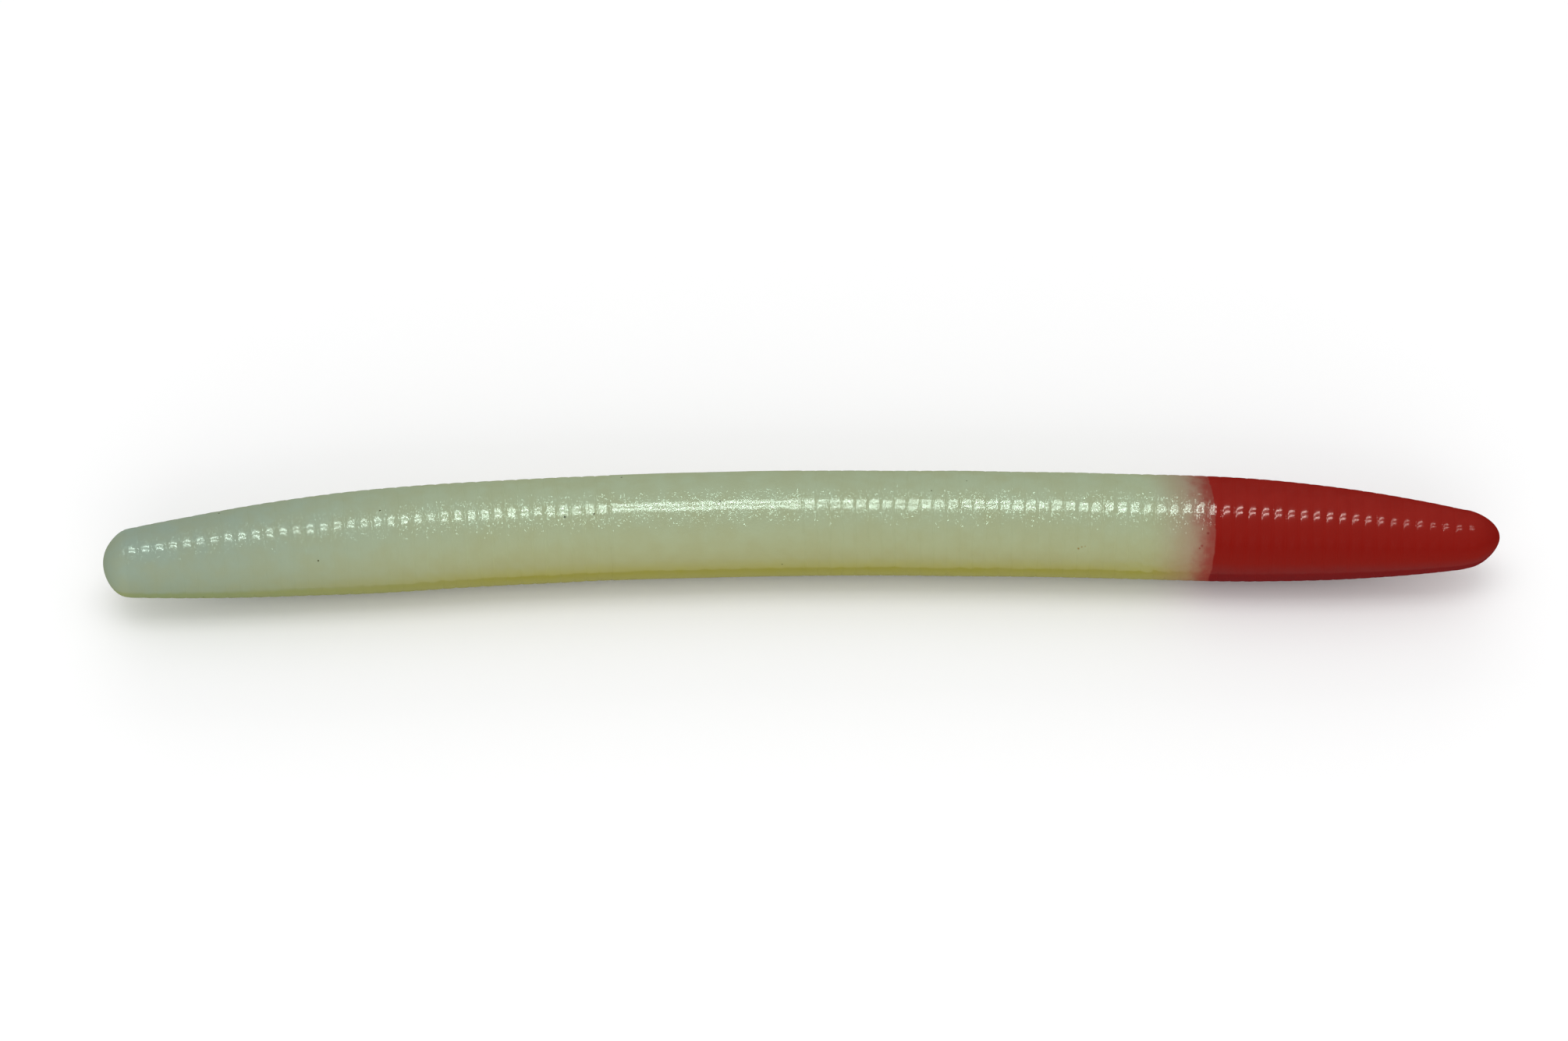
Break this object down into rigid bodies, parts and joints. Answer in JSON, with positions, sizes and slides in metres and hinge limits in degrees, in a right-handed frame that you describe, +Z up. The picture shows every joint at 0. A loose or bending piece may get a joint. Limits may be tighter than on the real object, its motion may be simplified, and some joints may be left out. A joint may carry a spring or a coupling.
{
  "type": "soft plastic worm",
  "caption": "Ringed stick worm in soft pearl plastic, with a smooth band near its middle and a bonded red tail; it bends and twists along its length.",
  "frame": {"origin": "the middle of the smooth band, on the worm's own axis", "axes": "+X along the band, from the nose towards the red tail; +Y towards the outside of the slight resting bow; +Z up from the table the worm lies on"},
  "size_m": [0.1267, 0.012, 0.0096],
  "materials": {
    "pearl": "satin",
    "red": "gloss"
  },
  "bodies": {
    "band_front": {"band_front": "pearl"},
    "band_rear": {"band_rear": "pearl"},
    "nose_rings_8": {"nose_rings_8": "pearl"},
    "nose_rings_7": {"nose_rings_7": "pearl"},
    "nose_rings_6": {"nose_rings_6": "pearl"},
    "nose_rings_5": {"nose_rings_5": "pearl"},
    "nose_rings_4": {"nose_rings_4": "pearl"},
    "nose_rings_3": {"nose_rings_3": "pearl"},
    "nose_rings_2": {"nose_rings_2": "pearl"},
    "nose_rings_1": {"nose_rings_1": "pearl"},
    "nose_tip": {"nose_tip": "pearl"},
    "back_rings_1": {"back_rings_1": "pearl"},
    "back_rings_2": {"back_rings_2": "pearl"},
    "back_rings_3": {"back_rings_3": "pearl"},
    "back_rings_4": {"back_rings_4": "pearl"},
    "back_rings_5": {"back_rings_5": "pearl"},
    "back_rings_6": {"back_rings_6": "pearl"},
    "back_rings_7": {"back_rings_7": "pearl"},
    "bonded_length": {"back_rings_8": "pearl", "red_tail_1": "red"},
    "red_tail_2": {"red_tail_2": "red"},
    "red_tail_3": {"red_tail_3": "red"},
    "red_tail_4": {"red_tail_4": "red"},
    "red_tail_5": {"red_tail_5": "red"},
    "red_tail_tip": {"red_tail_tip": "red"}
  },
  "joints": [
    {"name": "nose_curl", "type": "hinge", "parent": "band_front", "child": "nose_rings_8", "pos_m": [-0.00642, 0, 0], "axis": [0, 0, 1], "range_deg": [-8, 8], "stiffness_Nm_per_rad": 0.0998},
    {"name": "nose_curl_2", "type": "hinge", "parent": "nose_rings_8", "child": "nose_rings_7", "pos_m": [-0.01115, -0.0001, 0], "axis": [0, 0, 1], "range_deg": [-8.5, 8.5]},
    {"name": "nose_curl_3", "type": "hinge", "parent": "nose_rings_7", "child": "nose_rings_6", "pos_m": [-0.01591, -0.00026, 0], "axis": [0, 0, 1], "range_deg": [-9, 9]},
    {"name": "nose_curl_4", "type": "hinge", "parent": "nose_rings_6", "child": "nose_rings_5", "pos_m": [-0.0207, -0.00047, 0], "axis": [0, 0, 1], "range_deg": [-9.5, 9.5]},
    {"name": "nose_curl_5", "type": "hinge", "parent": "nose_rings_5", "child": "nose_rings_4", "pos_m": [-0.02552, -0.00074, 0], "axis": [0, 0, 1], "range_deg": [-10, 10]},
    {"name": "nose_curl_6", "type": "hinge", "parent": "nose_rings_4", "child": "nose_rings_3", "pos_m": [-0.03038, -0.00107, 0], "axis": [0, 0, 1], "range_deg": [-10.5, 10.5]},
    {"name": "nose_curl_7", "type": "hinge", "parent": "nose_rings_3", "child": "nose_rings_2", "pos_m": [-0.03527, -0.00146, 0], "axis": [0, 0, 1], "range_deg": [-11, 11]},
    {"name": "nose_curl_8", "type": "hinge", "parent": "nose_rings_2", "child": "nose_rings_1", "pos_m": [-0.04019, -0.00191, 0], "axis": [0, 0, 1], "range_deg": [-11.5, 11.5]},
    {"name": "nose_curl_9", "type": "hinge", "parent": "nose_rings_1", "child": "nose_tip", "pos_m": [-0.04514, -0.00242, 0], "axis": [0, 0, 1], "range_deg": [-12, 12]},
    {"name": "body_twist", "type": "hinge", "parent": "band_front", "child": "band_rear", "pos_m": [0.00398, 0, 0], "axis": [-1, 0, 0], "range_deg": [-90, 90], "stiffness_Nm_per_rad": 0.000459},
    {"name": "tail_curl", "type": "hinge", "parent": "band_rear", "child": "back_rings_1", "pos_m": [0.00642, 0, 0], "axis": [0, 0, -1], "range_deg": [-8, 8], "stiffness_Nm_per_rad": 0.1535},
    {"name": "tail_curl_2", "type": "hinge", "parent": "back_rings_1", "child": "back_rings_2", "pos_m": [0.01115, -0.0001, 0], "axis": [0, 0, -1], "range_deg": [-8.33, 8.33]},
    {"name": "tail_curl_3", "type": "hinge", "parent": "back_rings_2", "child": "back_rings_3", "pos_m": [0.01587, -0.00025, 0], "axis": [0, 0, -1], "range_deg": [-8.67, 8.67]},
    {"name": "tail_curl_4", "type": "hinge", "parent": "back_rings_3", "child": "back_rings_4", "pos_m": [0.0206, -0.00044, 0], "axis": [0, 0, -1], "range_deg": [-9, 9]},
    {"name": "tail_curl_5", "type": "hinge", "parent": "back_rings_4", "child": "back_rings_5", "pos_m": [0.02532, -0.00066, 0], "axis": [0, 0, -1], "range_deg": [-9.33, 9.33]},
    {"name": "tail_curl_6", "type": "hinge", "parent": "back_rings_5", "child": "back_rings_6", "pos_m": [0.03004, -0.00091, 0], "axis": [0, 0, -1], "range_deg": [-9.67, 9.67]},
    {"name": "tail_curl_7", "type": "hinge", "parent": "back_rings_6", "child": "back_rings_7", "pos_m": [0.03476, -0.0012, 0], "axis": [0, 0, -1], "range_deg": [-10, 10]},
    {"name": "tail_curl_8", "type": "hinge", "parent": "back_rings_7", "child": "bonded_length", "pos_m": [0.03948, -0.00152, 0], "axis": [0, 0, -1], "range_deg": [-10.33, 10.33]},
    {"name": "tail_curl_9", "type": "hinge", "parent": "bonded_length", "child": "red_tail_2", "pos_m": [0.04419, -0.00187, 0], "axis": [0, 0, -1], "range_deg": [-10.67, 10.67]},
    {"name": "tail_curl_10", "type": "hinge", "parent": "red_tail_2", "child": "red_tail_3", "pos_m": [0.04891, -0.00225, 0], "axis": [0, 0, -1], "range_deg": [-11, 11]},
    {"name": "tail_curl_11", "type": "hinge", "parent": "red_tail_3", "child": "red_tail_4", "pos_m": [0.05362, -0.00266, 0], "axis": [0, 0, -1], "range_deg": [-11.33, 11.33]},
    {"name": "tail_curl_12", "type": "hinge", "parent": "red_tail_4", "child": "red_tail_5", "pos_m": [0.05832, -0.00311, 0], "axis": [0, 0, -1], "range_deg": [-11.67, 11.67]},
    {"name": "tail_curl_13", "type": "hinge", "parent": "red_tail_5", "child": "red_tail_tip", "pos_m": [0.06303, -0.00359, 0], "axis": [0, 0, -1], "range_deg": [-12, 12]}
  ],
  "couplings": [
    {"joint": "nose_curl_2", "follows": "nose_curl", "ratio": 1.0625},
    {"joint": "nose_curl_3", "follows": "nose_curl", "ratio": 1.125},
    {"joint": "nose_curl_4", "follows": "nose_curl", "ratio": 1.1875},
    {"joint": "nose_curl_5", "follows": "nose_curl", "ratio": 1.25},
    {"joint": "nose_curl_6", "follows": "nose_curl", "ratio": 1.3125},
    {"joint": "nose_curl_7", "follows": "nose_curl", "ratio": 1.375},
    {"joint": "nose_curl_8", "follows": "nose_curl", "ratio": 1.4375},
    {"joint": "nose_curl_9", "follows": "nose_curl", "ratio": 1.5},
    {"joint": "tail_curl_2", "follows": "tail_curl", "ratio": 1.0417},
    {"joint": "tail_curl_3", "follows": "tail_curl", "ratio": 1.0833},
    {"joint": "tail_curl_4", "follows": "tail_curl", "ratio": 1.125},
    {"joint": "tail_curl_5", "follows": "tail_curl", "ratio": 1.1667},
    {"joint": "tail_curl_6", "follows": "tail_curl", "ratio": 1.2083},
    {"joint": "tail_curl_7", "follows": "tail_curl", "ratio": 1.25},
    {"joint": "tail_curl_8", "follows": "tail_curl", "ratio": 1.2917},
    {"joint": "tail_curl_9", "follows": "tail_curl", "ratio": 1.3333},
    {"joint": "tail_curl_10", "follows": "tail_curl", "ratio": 1.375},
    {"joint": "tail_curl_11", "follows": "tail_curl", "ratio": 1.4167},
    {"joint": "tail_curl_12", "follows": "tail_curl", "ratio": 1.4583},
    {"joint": "tail_curl_13", "follows": "tail_curl", "ratio": 1.5}
  ]
}
